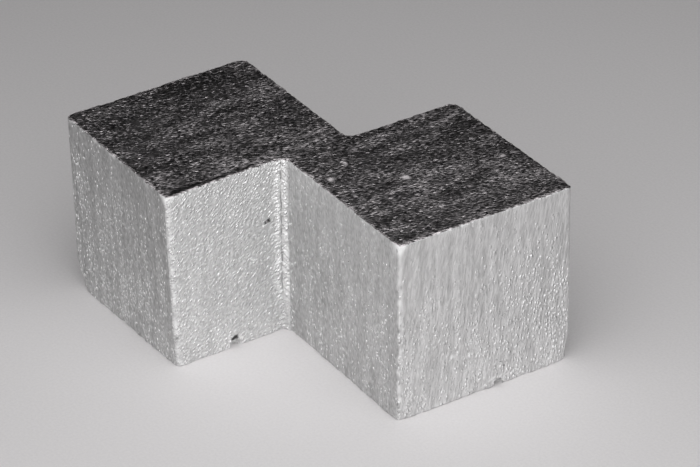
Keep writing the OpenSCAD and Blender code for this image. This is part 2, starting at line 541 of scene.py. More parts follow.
# %% Crisp edges
WEAR_AND_SHEEN_WIDTH, WEAR_AND_SHEEN_SIZE, FACING_OUT = 1.15, (1.6, 1.6, 1.9), (0.3, 0.7)
EVEN_WEAR_AND_SHEEN, UNEVEN_WEAR_AND_SHEEN = 0.42, 1.3
KNOCK_REACH, KNOCK_DEPTH, CORNER_HIGHLIGHT_REACH, CORNER_HIGHLIGHT = 1.5, 0.45, 2.6, 1.2
SPECK_REACH, SPECK_SIZE, WORN_SPECKS, SPECK_WEAR = 2, (1.1, 1.1, 1.8), (0.25, 0.5), 0.8
for corner in (FRONT_RIGHT, NEAR):
    apart = from_edge(corner)
    # a bright band down each crisp edge: part wear, part painted highlight
    band = mound(apart, WEAR_AND_SHEEN_WIDTH, 4) * ramp(normals[:, 0], *FACING_OUT)
    wear_and_painted_light += band * (EVEN_WEAR_AND_SHEEN + UNEVEN_WEAR_AND_SHEEN * bumps(base, WEAR_AND_SHEEN_SIZE, 40 + corner))
    from_tip = np.hypot(apart, z - HEIGHT)
    relief -= KNOCK_DEPTH * mound(from_tip, KNOCK_REACH)
    # painted highlight on each knocked top corner, where it mirrors the lamp
    wear_and_painted_light += CORNER_HIGHLIGHT * mound(from_tip, CORNER_HIGHLIGHT_REACH, 4) * (1 - up)
specks = ramp(bumps(base, SPECK_SIZE, 45), *WORN_SPECKS)
wear_and_painted_light += SPECK_WEAR * mound(from_edge(FRONT_LEFT), SPECK_REACH, 4) * specks
print("worn points:", int((wear_and_painted_light > 0.5).sum()))

# %% [markdown]
# ## The wrinkled inner corners
# The two blocks meet in an inner corner, where the skin folded as it froze: a thin crease
# with a ridge on each side. Their shape is made here. The beads on them are finer than the
# mesh, so every point also notes where it lies on the seam, across it and up it, for the
# material to draw them by.

# %% Inner corners
RIDGE_PLACE, RIDGE_WIDTH, RIDGE_HEIGHT = 0.9, 0.6, 0.3
CREASE_SHIFT, CREASE_WIDTH, CREASE_DEPTH = -0.8, 0.25, 0.07
SEAM_WANDER, SEAM_WANDER_SIZE = 0.25, 4
SEAM_SIDES, SEAM_FOOT, SEAM_HEAD = (2.4, 1.6), (5, 14), (HEIGHT, HEIGHT - 0.5)
seam = np.zeros((len(base), 3))


def fold(corner, seed):
    """Two ridges and a crease along one inner corner. Notes where every point lies on them."""
    first = arc_middle(corner) - ARC_STEPS[corner] // 2
    steps_on = ring_place - first
    in_arc = on_wall & (np.abs(steps_on / ARC_STEPS[corner] - 0.5) < 1)
    arc_length = INNER_RADIUS * math.pi / 2
    across = (steps_on / ARC_STEPS[corner] - 0.5) * arc_length - CREASE_SHIFT
    across += SEAM_WANDER * bumps(np.column_stack([z, z, z]), SEAM_WANDER_SIZE, seed)
    near = in_arc * ramp(np.abs(across), *SEAM_SIDES) * ramp(z, *SEAM_FOOT) * ramp(z, *SEAM_HEAD)
    seam[in_arc] = np.column_stack([across, z, near])[in_arc]
    ridges = mound(np.abs(across) - RIDGE_PLACE, RIDGE_WIDTH)
    crease = mound(across, CREASE_WIDTH)
    return near * (RIDGE_HEIGHT * ridges - CREASE_DEPTH * crease)


relief += fold(FRONT_INNER, 9) + fold(REAR_INNER, 12)
print("points on the seams:", int((seam[:, 2] > 0.5).sum()))

# %% [markdown]
# ## The dark band
# Along the first block's end the top skin has drawn away from its rim, and left a smooth
# shallow trough, which is painted dark with painted shade. It fades out towards the inner corner.

# %% Trough
TROUGH_PLACE, TROUGH_WIDTH, TROUGH_DEPTH = 1.5, 0.85, 0.15
TROUGH_WANDER, TROUGH_WANDER_SIZE = 0.5, 7
TROUGH_START, TROUGH_END = (-0.5, 2), (34, 10)
lean_in = -WANDER * TOP_DRIFT_SHARES[FRONT_INNER][0] * ramp(y, front_y, step_y)
from_rim = inner_face_x - lean_in - x
trough_place = TROUGH_PLACE + TROUGH_WANDER * bumps(base, TROUGH_WANDER_SIZE, 50)
trough = up * mound(from_rim - trough_place, TROUGH_WIDTH)
trough *= ramp(y - front_y, *TROUGH_START) * ramp(y - front_y, *TROUGH_END)
relief -= TROUGH_DEPTH * trough
# painted shade in the trough
wear_and_painted_light -= trough
print("points in the trough:", int((trough > 0.5).sum()))

# %% [markdown]
# ## Nubs and grains
# Four grains of dross stand on the top skin, and two sit on the second block's end. Each is
# a low round hill at its own place, and a little worn, because it stands proud.

# %% Nubs
NUB_WEAR, GRAIN_RADIUS, GRAIN_HEIGHT = 0.9, 0.7, 0.15
NUBS = [(14.2, -4.2, 0.9, 0.4), (23.9, 11.4, 1.1, 0.4), (9.0, 2.7, 0.6, 0.3), (28.5, 36.8, 0.6, 0.3)]
GRAINS = [(12.1, 11.7), (7.1, 13.0)]
for nub_x, nub_y, nub_radius, nub_height in NUBS:
    hill = up * mound(np.hypot(x - nub_x, y - nub_y), nub_radius, 4)
    relief += nub_height * hill
    wear_and_painted_light += NUB_WEAR * hill
on_end = wall * (x > inner_face_x + SECOND_LENGTH / 2)
for grain_y, grain_z in GRAINS:
    hill = on_end * mound(np.hypot(y - grain_y, z - grain_z), GRAIN_RADIUS, 4)
    relief += GRAIN_HEIGHT * hill
    wear_and_painted_light += hill
print("points on the last grain:", int((hill > 0.5).sum()))

# %% [markdown]
# ## Setting the skin
# The points move by the relief along their normals. The whole skin is first drawn in by a
# little more than the waves are high, and whatever still stands out is held to the CAD
# part's box, so the real size stays right.

# %% Push the skin out by its relief
RELIEF_DEPTH = 0.12
skin = base + normals * (relief - RELIEF_DEPTH)[:, None]
skin[down > 0.99, 2] = 0
skin = np.clip(skin, np.array(cad_low) / MM, np.array(cad_high) / MM)
mesh.vertices.foreach_set("co", (skin * MM).ravel())
# wear and painted light: above 0 painted brighter, below 0 painted shade
mesh.attributes.new("wear_and_painted_light", "FLOAT", "POINT").data.foreach_set("value", wear_and_painted_light)
mesh.attributes.new("seam", "FLOAT_VECTOR", "POINT").data.foreach_set("vector", seam.ravel())
mesh.update()
print("skin in mm:", np.round(np.ptp(skin, axis=0), 1))

# %% [markdown]
# ## Nicks and pits
# Two end faces have a nick in their foot, and gas left two pits beside the inner corner.
# They are sharp holes, so they are cut out with a Boolean modifier. A cutter is a wedge or
# a ball whose points are moved a little by noise, so that no hole is perfectly round.

# %% A cutter
CUT_OVER, WOBBLE_SIZE = 1, 0.8


def cutter(name, shape, middle, wobble, seed):
    """Links a bmesh shape in millimetres as a cutter, its points moved by noise."""
    for corner in shape.verts:
        place = np.array(corner.co)[None]
        shift = [bumps(place, WOBBLE_SIZE, seed + axis)[0] for axis in range(3)]
        corner.co += Vector(shift) * wobble
    cut = bpy.data.meshes.new(name)
    shape.transform(Matrix.Translation(middle))
    shape.transform(Matrix.Scale(MM, 4))
    shape.to_mesh(cut)
    shape.free()
    return put_in_scene(name, cut)


print("a cutter starts outside the face by, in mm:", CUT_OVER)

# %% Nick cutters
NICK_DEPTH, NICK_SIDES, NICK_CUTS, NICK_WOBBLE = 2, 5, 3, 0.2
FIRST_NICK_PLACE, SECOND_NICK_PLACE = 17.8, 29
# Each nick's face, its place along the foot, its width and its height.
nick_spots = [
    (inner_face_x, front_y + FIRST_NICK_PLACE, 4.4, 2.9),
    (END_X - plan_middle[0], step_y + SECOND_NICK_PLACE, 3.2, 2)]


def nick(name, face_x, nick_y, width, height, seed):
    """A blunt wedge that runs into the foot of an end face."""
    shape = bmesh.new()
    length = NICK_DEPTH + CUT_OVER
    bmesh.ops.create_cone(
        shape, cap_ends=True, segments=NICK_SIDES, radius1=width / 4,
        radius2=width / 4 * (1 + length / NICK_DEPTH), depth=length)
    bmesh.ops.subdivide_edges(shape, edges=shape.edges[:], cuts=NICK_CUTS, use_grid_fill=True)
    shape.transform(Matrix.Rotation(math.radians(90), 4, "Y"))
    middle = (face_x + CUT_OVER - length / 2, nick_y, height - width / 2)
    return cutter(name, shape, middle, NICK_WOBBLE, seed)


cutters = [nick("nick_cutter", *nick_spots[0], 20), nick("second_nick_cutter", *nick_spots[1], 24)]
print("nick points:", [len(blade.data.vertices) for blade in cutters])

# %% Pit cutters
PIT_WIDTH, PIT_LEVEL, PIT_FROM_CORNER = 1.3, 33.1, 4.9
SMALL_PIT_WIDTH, SMALL_PIT_LEVEL, SMALL_PIT_X = 0.5, 34.3, 27.3
PIT_SINK, SMALL_PIT_SINK, PIT_WOBBLE = 0.9, 0.3, 0.12
pit_spots = [
    ((inner_face_x - PIT_SINK, step_y - PIT_FROM_CORNER, PIT_LEVEL), PIT_WIDTH),
    ((SMALL_PIT_X, step_y + SMALL_PIT_SINK, SMALL_PIT_LEVEL), SMALL_PIT_WIDTH)]


def pit(name, middle, width, seed):
    """A ball that leaves a round pit."""
    shape = bmesh.new()
    bmesh.ops.create_icosphere(shape, subdivisions=2, radius=width / 2)
    return cutter(name, shape, middle, PIT_WOBBLE, seed)


cutters += [pit("pit_cutter", *pit_spots[0], 28), pit("small_pit_cutter", *pit_spots[1], 32)]
print("pit points:", [len(blade.data.vertices) for blade in cutters[2:]])

# %% Cut them out
SHARP_EDGE = 55


def cut_out(thing, cutters):
    """Takes the cutters out of a mesh, and keeps only the result."""
    for blade in cutters:
        modifier = thing.modifiers.new(blade.name, "BOOLEAN")
        modifier.object = blade
        modifier.solver = "EXACT"
    graph = bpy.context.evaluated_depsgraph_get()
    carved = bpy.data.meshes.new_from_object(thing.evaluated_get(graph))
    thing.modifiers.clear()
    for blade in cutters:
        bpy.data.meshes.remove(blade.data)
    thing.data = carved
    return carved


whole = mesh
mesh = cut_out(ingot, cutters)
bpy.data.meshes.remove(whole)
mesh.set_sharp_from_angle(angle=math.radians(SHARP_EDGE))
print("triangles of the skin:", sum(len(face.vertices) - 2 for face in mesh.polygons))

# %% [markdown]
# ## Tone inside the holes
# The Boolean keeps the skin's wear and painted light, but the inside of a hole gets none,
# so it is written by place. A nick's inside is painted light, its lips get painted
# highlights, and only its far corner gets painted shade. A pit gets painted shade, with a
# painted highlight on its lower lip where its edge faces the lamp.

# %% Painted light and shade inside the holes
NICK_SKIN, NICK_PAINTED_LIGHT, DARK_DEPTH = 0.35, 0.6, 1
DARK_DROP, DARK_HEAD_DROP, DARK_WIDTH_SHARE = 1.45, 0.7, 0.22
LIP_REACH, LIP_HIGHLIGHT, LIP_SIZE, HIGHLIGHTED_LIP = 0.9, 0.75, 0.8, (-0.1, 0.2)
HEAD_ROOM = 0.3
PIT_LIP_SHARE, PIT_LIP_HIGHLIGHT = 0.62, 0.8
spots = np.empty(len(mesh.vertices) * 3)
mesh.vertices.foreach_get("co", spots)
spots = spots.reshape(-1, 3) / MM
wear_and_painted_light = np.empty(len(spots))
mesh.attributes["wear_and_painted_light"].data.foreach_get("value", wear_and_painted_light)
for face_x, nick_y, width, height in nick_spots:
    depth, aside, level = face_x - spots[:, 0], np.abs(spots[:, 1] - nick_y), spots[:, 2]
    near = (depth > -CUT_OVER) & (depth < NICK_DEPTH + CUT_OVER)
    near &= (aside < width / 2 + LIP_REACH) & (level < height + LIP_REACH)
    lip = near & (depth < NICK_SKIN)
    # painted highlight on a nick's lips
    wear_and_painted_light[lip] = np.maximum(wear_and_painted_light, LIP_HIGHLIGHT * ramp(bumps(spots, LIP_SIZE, 70), *HIGHLIGHTED_LIP))[lip]
    inside = near & ~lip & (aside < width / 2) & (level < height + HEAD_ROOM)
    dark_from = height - np.where(depth > DARK_DEPTH, DARK_DROP, DARK_HEAD_DROP)
    corner = (level > dark_from) & (aside < width * DARK_WIDTH_SHARE)
    # painted shade in a nick's far corner, painted light elsewhere inside
    wear_and_painted_light[inside] = np.where(corner, -1, NICK_PAINTED_LIGHT)[inside]
for middle, width in pit_spots:
    inside = np.linalg.norm(spots - middle, axis=1) < width * PIT_LIP_SHARE
    # painted shade inside a pit, painted highlight on its lower lip
    wear_and_painted_light[inside] = np.where(spots[:, 2] > middle[2] - width / 4, -1, PIT_LIP_HIGHLIGHT)[inside]
mesh.attributes["wear_and_painted_light"].data.foreach_set("value", wear_and_painted_light)
print("sheltered points:", int((wear_and_painted_light < -0.5).sum()))

# %% [markdown]
# ## Nodes in a few words
# Bare metal shows only what it reflects, so its look is in its fine relief, and that is too
# small for the mesh. It comes from shader nodes. Nodes could be placed one by one in the
# shader editor. In a script, a few small helpers let a chain of nodes be read as a sum.

# %% Nodes and links


def feed(tree, source, target):
    """Links an output to an input, or sets the input to a plain value."""
    if hasattr(source, "is_linked"):
        tree.links.new(source, target)
    else:
        target.default_value = source


def add_node(tree, kind, sources=None, **settings):
    """Adds a node, sets its plain properties, feeds its inputs, and gives its outputs."""
    node = tree.nodes.new(kind)
    for name, value in settings.items():
        setattr(node, name, value)
    for place, source in (sources or {}).items():
        feed(tree, source, node.inputs[place])
    return node.outputs


def maths(tree, operation, *values):
    """The result of one Math node."""
    return add_node(tree, "ShaderNodeMath", dict(enumerate(values)), operation=operation)[0]


def times(tree, first, second, plus=0):
    """One value times another, and perhaps a third added."""
    return maths(tree, "MULTIPLY_ADD", first, second, plus)


def slope(tree, value, low, high):
    """0 up to low, 1 from high on."""
    ends = {"Value": value, "From Min": low, "From Max": high}
    return add_node(tree, "ShaderNodeMapRange", ends)[0]


print("materials so far:", len(bpy.data.materials))

# %% Mixes and splits


def blend(tree, share, first, second):
    """A mix of two numbers."""
    parts = {0: share, 2: first, 3: second}
    return add_node(tree, "ShaderNodeMix", parts, data_type="FLOAT")[0]


def pick(tree, share, first, second):
    """A mix of two vectors."""
    parts = {0: share, 4: first, 5: second}
    return add_node(tree, "ShaderNodeMix", parts, data_type="VECTOR")[1]


def split(tree, vector):
    """The three parts of a vector."""
    return add_node(tree, "ShaderNodeSeparateXYZ", {0: vector})


def over(tree, vector, size):
    """A vector divided by a size in each direction."""
    return add_node(tree, "ShaderNodeVectorMath", {0: vector, 1: size}, operation="DIVIDE")[0]


def fine_noise(tree, vector, detail):
    """A noise of about one bump a unit, from 0 to 1."""
    sources = {"Scale": 1, "Detail": detail, "Vector": vector}
    return add_node(tree, "ShaderNodeTexNoise", sources)["Fac"]


def in_mm(size):
    """A size in millimetres as metres."""
    return [part * MM for part in size]


print("three millimetres in metres:", in_mm([3]))

# %% Start of a node group


def start_group(name, takes, gives):
    """A node group with named inputs and outputs, and the nodes at its two ends."""
    group = bpy.data.node_groups.new(name, "ShaderNodeTree")
    kinds = {"number": "NodeSocketFloat", "vector": "NodeSocketVector"}
    for socket, kind in takes.items():
        group.interface.new_socket(socket, in_out="INPUT", socket_type=kinds[kind])
    for socket in gives:
        group.interface.new_socket(socket, in_out="OUTPUT", socket_type=kinds["number"])
    return group, add_node(group, "NodeGroupInput"), group.nodes.new("NodeGroupOutput").inputs


def place_group(tree, group, sources):
    """Places a group in a tree, and feeds its inputs."""
    return add_node(tree, "ShaderNodeGroup", sources, node_tree=group)


print("node groups so far:", len(bpy.data.node_groups))

# %% [markdown]
# ## Ripples
# Between its marks the metal has soft ripples, like skin on warm milk. A noise that is
# squeezed by a different size in each direction makes them, and the same group serves
# every face with sizes of its own.

# %% The ripples group
RIPPLE_DETAIL = 2


def make_ripples():
    """A group that puts out the height of soft ripples."""
    group, entry, out = start_group(
        "ripples", {"Position": "vector", "Size": "vector"}, ["Height"])
    sized = over(group, entry["Position"], entry["Size"])
    feed(group, fine_noise(group, sized, RIPPLE_DETAIL), out["Height"])
    return group


ripples = make_ripples()
print("ripples sockets:", [item.name for item in ripples.interface.items_tree])

# %% [markdown]
# ## Marks
# The mould has pressed many small oval marks into the walls, and some of them carry a
# painted glint on the crest. Noise alone looks like worms. A Voronoi texture splits space
# into cells, one mark sits in each chosen cell, and the cell's random colour decides which
# cells are chosen, how big the mark is and whether it gets a painted glint.

# %% The marks group
MARK_REACH, MARK_SPREAD = 0.35, 0.35
CORE_EDGE, SPARK_CHANCE = 0.4, (0, 0.8)


def make_marks():
    """A group that puts out drawn-out marks and the painted glints on their crests."""
    group, entry, out = start_group(
        "marks", {"Position": "vector", "Cell Size": "vector", "Crowd": "number"},
        ["Mark", "Spark"])
    sized = over(group, entry["Position"], entry["Cell Size"])
    voronoi = add_node(group, "ShaderNodeTexVoronoi", {"Scale": 1, "Vector": sized},
                       voronoi_dimensions="3D", feature="F1")
    chance, size, luck = split(group, voronoi["Color"])
    present = maths(group, "LESS_THAN", chance, entry["Crowd"])
    reach = times(group, size, MARK_SPREAD, MARK_REACH)
    away = maths(group, "DIVIDE", voronoi["Distance"], reach)
    round_top = maths(group, "SUBTRACT", 1, times(group, away, away))
    mark = times(group, maths(group, "MAXIMUM", round_top, 0), present)
    feed(group, times(group, mark, reach), out["Mark"])
    core = slope(group, mark, 0, CORE_EDGE)
    feed(group, times(group, core, slope(group, luck, *SPARK_CHANCE)), out["Spark"])
    return group


marks = make_marks()
print("marks sockets:", [item.name for item in marks.interface.items_tree])

# %% [markdown]
# ## Beads along the seam
# The seam's two ridges are broken into beads, small and even on one side, long and slanting
# on the other. They are finer than the mesh, so they are drawn in the seam's own
# coordinates, which the mesh carries: distance across the crease, and height. Each bead is
# a scale that leans out at its foot, because such a face catches the low light.

# %% The beads group
# Pairs are for the two sides of the crease, in millimetres.
BEAD_PITCHES, BEAD_SLANTS, ROW_WIDTHS = (1.1, 2), (0.1, 1), (1.5, 2)
SCALE_EDGE = 6
BEAD_DRIFT, BEAD_DRIFT_SIZE, BEAD_LUCK_SIZE = 2, 4, 2.5
CREASE_LINE = 0.15
SIDES_APART, LUCK_ACROSS = 90, 9
ROW_GAPS, CREASE_GAPS = (0.25, 0.45), (0.4, 0.6)


def bead_rows(group, right, away, level):
    """The scales' height, and the noises that make rows and crease uneven."""
    along = add_node(group, "ShaderNodeCombineXYZ", {0: level, 1: times(group, right, SIDES_APART)})
    drift = fine_noise(group, over(group, along[0], (BEAD_DRIFT_SIZE, 1, 1)), 1)
    luck = fine_noise(group, over(group, along[0], (BEAD_LUCK_SIZE, LUCK_ACROSS, 1)), 1)
    slid = times(group, away, blend(group, right, *BEAD_SLANTS), level)
    slid = times(group, drift, BEAD_DRIFT, slid)
    climb = maths(group, "FRACT", maths(group, "DIVIDE", slid, blend(group, right, *BEAD_PITCHES)))
    scale = maths(group, "MINIMUM", maths(group, "SUBTRACT", 1, climb),
                  times(group, climb, SCALE_EDGE))
    return scale, drift, luck


def make_beads():
    """A group that puts out a seam's two rows, their beads and the crease between them."""
    group, entry, out = start_group("beads", {"Seam": "vector"}, ["Row", "Bead", "Crease"])
    across, level, near = split(group, entry["Seam"])
    right = maths(group, "GREATER_THAN", across, 0)
    away = maths(group, "ABSOLUTE", across)
    scale, drift, luck = bead_rows(group, right, away, level)
    wide = maths(group, "DIVIDE", away, blend(group, right, *ROW_WIDTHS))
    arch = maths(group, "SINE", times(group, maths(group, "MINIMUM", wide, 1), math.pi))
    row = maths(group, "SQRT", maths(group, "MAXIMUM", arch, 0))
    row = times(group, row, slope(group, luck, *ROW_GAPS))
    row = times(group, row, near)
    feed(group, row, out["Row"])
    feed(group, times(group, row, scale), out["Bead"])
    line = times(group, slope(group, away, CREASE_LINE, 0), slope(group, drift, *CREASE_GAPS))
    feed(group, times(group, line, near), out["Crease"])
    return group


beads = make_beads()
print("beads sockets:", [item.name for item in beads.interface.items_tree])

# %% [markdown]
# ## Which face is which
# The long sides have upright marks in columns, the first block's end has dense slanting
# ones, the second block's end is smooth above and rough below, and the top is a dark skin
# of fine fibres, darkened further by painted shade. Four materials would show a line where
# they meet. One material that reads the mesh's own directions and places changes over from
# face to face in the same way, and keeps every table in one place.

# %% Faces of the ingot
# Where four values stand together, they are for the long sides, the second block's end,
# the first block's end and the top.
SIDE, END, FIRST_END, TOP = range(4)
SMOOTH_HEAD, ROUGH_FOOT = 46, 22
TOP_FACING, END_FACING, END_DEPTH = 0.6, 0.7, 1.2


def read_faces(tree):
    """The position, its parts, and masks for the ends and the top."""
    where = add_node(tree, "ShaderNodeTexCoord")
    position = where["Object"]
    along_x, along_y, level = split(tree, position)
    to_x, _, to_z = split(tree, where["Normal"])
    top = maths(tree, "GREATER_THAN", to_z, TOP_FACING)
    end = maths(tree, "GREATER_THAN", maths(tree, "ABSOLUTE", to_x), END_FACING)
    off_end = maths(tree, "ABSOLUTE", maths(tree, "SUBTRACT", along_x, inner_face_x * MM))
    before_step = maths(tree, "LESS_THAN", along_y, step_y * MM)
    first_end = times(tree, maths(tree, "LESS_THAN", off_end, END_DEPTH * MM), before_step)
    low = slope(tree, level, SMOOTH_HEAD * MM, ROUGH_FOOT * MM)
    return {"position": position, "x": along_x, "z": level, "low": low,
            "top": top, "end": end, "first end": first_end}


def by_face(tree, place, values, choose=blend):
    """The value of each kind of face."""
    value = choose(tree, place["end"], values[SIDE], values[END])
    value = choose(tree, place["first end"], value, values[FIRST_END])
    return choose(tree, place["top"], value, values[TOP])


print("kinds of faces:", TOP + 1)

# %% [markdown]
# ## Fine relief
# Marks crowd together in columns on the walls and in patches on the top. Their direction,
# size and height come from tables, and so do those of the ripples. Marks, ripples and beads
# are added up to one height, which goes through a Bump node.

# %% Tables for marks and ripples
CELLS = (0.6, 0.75, 1.05), (0.85, 0.75, 1.2), (0.78, 0.56, 1), (0.45, 1.1, 0.6)
LEANS = (0, 8, 0), (9, 0, 0), (44, 0, 0), (0, 0, 13)
RIPPLES = (0.6, 0.6, 1.4), (0.7, 0.62, 2.6), (0.72, 0.46, 0.95), (0.38, 1.4, 1)
MARK_HEIGHTS = 1.35, 0.66, 0.57, 0.14
RIPPLE_HEIGHTS = 0.5, 0.47, 0.4, 0.34
BEAD_HEIGHT, CREASE_CUT = 0.45, 0.25
CROWDS_FROM = 0.15, 0.35, 0.75, 0.06
CROWDS_TO = 0.9, 1, 0.75, 0.3
SECOND_SIDE_SHARE = 0.65
HEAD_CROWD_SHARES, HEAD_RELIEF_SHARES = (0.3, 0.15, 1, 1), (1, 0.42, 1, 1)
# The size of each of three broad noises, its detail, and where it is 0 and 1.
COLUMNS = (2.5, 2.5, 20), 2, 0.4, 0.62
PATCHES = (3, 10, 7), 3, 0.42, 0.58
SWEEPS = (6, 26, 26), 1, 0.35, 0.65
print("crowds of marks, from and to:", *zip(CROWDS_FROM, CROWDS_TO))

# %% Where marks crowd together


def broad_noise(tree, place, size, detail, low, high):
    """A noise over the whole ingot, from 0 to 1."""
    value = fine_noise(tree, over(tree, place["position"], in_mm(size)), detail)
    return slope(tree, value, low, high)


def read_crowds(tree, place):
    """Columns on the walls, patches and sweeps on the top, and how crowded the marks are."""
    columns, patches, sweeps = [
        broad_noise(tree, place, *table) for table in (COLUMNS, PATCHES, SWEEPS)]
    spread = blend(tree, place["top"], columns, patches)
    crowd = blend(tree, spread, by_face(tree, place, CROWDS_FROM),
                  by_face(tree, place, CROWDS_TO))
    head = by_face(tree, place, HEAD_CROWD_SHARES)
    crowd = times(tree, crowd, blend(tree, place["low"], head, 1))
    second = maths(tree, "GREATER_THAN", place["x"], 0)
    thinner = by_face(tree, place, (SECOND_SIDE_SHARE, 1, 1, 1))
    crowd = times(tree, crowd, blend(tree, second, 1, thinner))
    return columns, patches, sweeps, crowd


print("size of the top's patches in mm:", *PATCHES[0])

# %% Marks, ripples and beads in one height


def read_relief(tree, place, crowd):
    """The outputs of the three groups."""
    leans = [[math.radians(part) for part in lean] for lean in LEANS]
    turn = {"Vector": place["position"], "Rotation": by_face(tree, place, leans, pick)}
    leaned = add_node(tree, "ShaderNodeVectorRotate", turn, rotation_type="EULER_XYZ")[0]
    cell = by_face(tree, place, [in_mm(size) for size in CELLS], pick)
    size = by_face(tree, place, [in_mm(size) for size in RIPPLES], pick)
    scratch = place_group(tree, marks, {"Position": leaned, "Cell Size": cell, "Crowd": crowd})
    ripple = place_group(tree, ripples, {"Position": leaned, "Size": size})
    seam = add_node(tree, "ShaderNodeAttribute", attribute_name="seam")
    rows = place_group(tree, beads, {"Seam": seam["Vector"]})
    return scratch, ripple["Height"], rows


def bump_up(tree, place, scratch, ripple, rows):
    """The bent normal that the heights make."""
    mark_height = by_face(tree, place, in_mm(MARK_HEIGHTS))
    ripple_height = by_face(tree, place, in_mm(RIPPLE_HEIGHTS))
    height = times(tree, scratch["Mark"], mark_height)
    height = times(tree, ripple, ripple_height, height)
    head = by_face(tree, place, HEAD_RELIEF_SHARES)
    height = times(tree, height, blend(tree, place["low"], head, 1))
    height = times(tree, rows["Bead"], BEAD_HEIGHT * MM, height)
    height = times(tree, rows["Crease"], -CREASE_CUT * MM, height)
    return add_node(tree, "ShaderNodeBump", {"Strength": 1, "Distance": 1, "Height": height})[0]


print("groups to place:", [group.name for group in (marks, ripples, beads)])

# %% [markdown]
# ## Tone
# Cast walls are a little dull: each mirrors the paper it stands on, but not all of it. The
# tones hold painted light and shade as well: each face is painted lighter or darker as the
# lamp falls on it, most walls lighter towards the top, and the ripples darker in their
# hollows. Worn edges are brighter, and the edges, corner tips, the seam's beads and the
# crests of marks also carry painted highlights, so they reflect nearly everything; the
# crease, the trough and the holes' far corners get painted shade, so they reflect little.
# The top has a thin grey skin of fibres, which scatters light as paint does, so there the
# metal's Metallic value falls. It lies in broad sweeps, and thickest in the neck where the
# blocks meet.

# %% Tables for tone
# tone of each face: partly the metal's own dullness, partly painted light and shade, each face
# lighter or darker as the lamp falls on it; the top's low tone is partly its dark skin and partly
# painted shade
SHADES = 0.59, 0.715, 0.775, 0.4
# painted shade: the first block's long side is painted darker
FIRST_SIDE_SHADE = 0.5
# painted shade and light on the ripples: hollows darker, crests lighter, strongest on the top
RIPPLE_SHADES = 0.6, 0.5, 0.75, 1.45
# painted light and shade by height: most walls lighter towards the top and darker towards the foot,
# the first block's long side the other way
RISE_SHADES, FIRST_SIDE_RISE = (0.1, 0.02, 0.12, 0), -0.06
BAND_SHADES = 0.08, 0.14, 0.08, 0
# crest tone is a painted glint, worn tone is wear and painted highlight, the shelter tone is painted
# shade, and the crease share is how much painted shade the seam's crease gets
CREST_GLINT_SHADE, WORN_AND_LIT_SHADE, PAINTED_SHADE_TONE, CREASE_SHARE = 0.97, 0.98, 0.08, 0.35
TOP_TINT = (1.033, 0.973, 0.994)
SPARK_SHARES = 1, 0.68, 0.85, 1
WALL_ROUGHNESS, TOP_ROUGHNESS, CREST_ROUGHNESS, WORN_ROUGHNESS = 0.5, 0.3, 0.2, 0.35
# the fleck film paints glints on the top; the worn film lightens wear and painted highlights
TOP_FILM, FIBRE_FILM, FLECK_GLINT_FILM, WORN_AND_LIT_FILM = 0.004, 0.42, 0.3, 0.8
FIBRES_FROM, FIBRES_TO = 0.48, 0.62
PATCH_SHARES = 0.1, 1
FILM_THIN_END, FILM_THICK_END, THIN_FILM_SHARE = -50, -5, 0.27
SWEEP_SHARES, SWEEP_SHADES = (0.5, 1.5), (0.76, 1.24)
NECK_REACH, NECK_SHARE, SIDES_MEET = 16, 1.45, 3
print("shades of the metal:", FIRST_SIDE_SHADE, *SHADES)

# %% Tone of the metal


def read_ground(tree, place, columns, sweeps, ripple):
    """How much the plain metal reflects, with painted light and shade by face, by height and in the
    ripples' hollows.
    """
    first_side = slope(tree, place["x"], SIDES_MEET * MM, -SIDES_MEET * MM)
    side = blend(tree, first_side, SHADES[SIDE], FIRST_SIDE_SHADE)
    ground = by_face(tree, place, (side, *SHADES[END:]))
    side_rise = blend(tree, first_side, RISE_SHADES[SIDE], FIRST_SIDE_RISE)
    rise = by_face(tree, place, (side_rise, *RISE_SHADES[END:]))
    # painted light towards the top of the walls, painted shade towards the foot
    above_middle = times(tree, place["z"], 1 / (HEIGHT * MM), -0.5)
    ground = times(tree, above_middle, rise, ground)
    ground = times(tree, columns, by_face(tree, place, BAND_SHADES), ground)
    # painted shade in the ripples' hollows, painted light on their crests
    off_level = maths(tree, "SUBTRACT", ripple, 0.5)
    ripple_shade = by_face(tree, place, RIPPLE_SHADES)
    ground = times(tree, off_level, ripple_shade, ground)
    sweep_shade = blend(tree, place["top"], 1, blend(tree, sweeps, *SWEEP_SHADES))
    return times(tree, ground, sweep_shade)


def read_film(tree, place, patches, sweeps, ripple, spark):
    """How much of the top's grey skin covers the metal, with painted glints on its flecks."""
    fibres = slope(tree, ripple, FIBRES_FROM, FIBRES_TO)
    fibres = times(tree, fibres, blend(tree, patches, *PATCH_SHARES))
    film = times(tree, fibres, FIBRE_FILM, TOP_FILM)
    thickness = slope(tree, place["x"], FILM_THIN_END * MM, FILM_THICK_END * MM)
    film = times(tree, film, blend(tree, thickness, THIN_FILM_SHARE, 1))
    film = times(tree, film, blend(tree, sweeps, *SWEEP_SHARES))
    neck = slope(tree, maths(tree, "ABSOLUTE", place["x"]), NECK_REACH * MM, 0)
    film = times(tree, film, blend(tree, neck, 1, NECK_SHARE))
    film = times(tree, spark, FLECK_GLINT_FILM, film)
    return times(tree, film, place["top"])


print("film at the thin end and in the neck:", THIN_FILM_SHARE, NECK_SHARE)

# %% The cast metal


def new_material(name):
    """A new material, its node tree and its shader."""
    material = bpy.data.materials.new(name)
    material.use_nodes = True
    return material, material.node_tree, material.node_tree.nodes["Principled BSDF"]


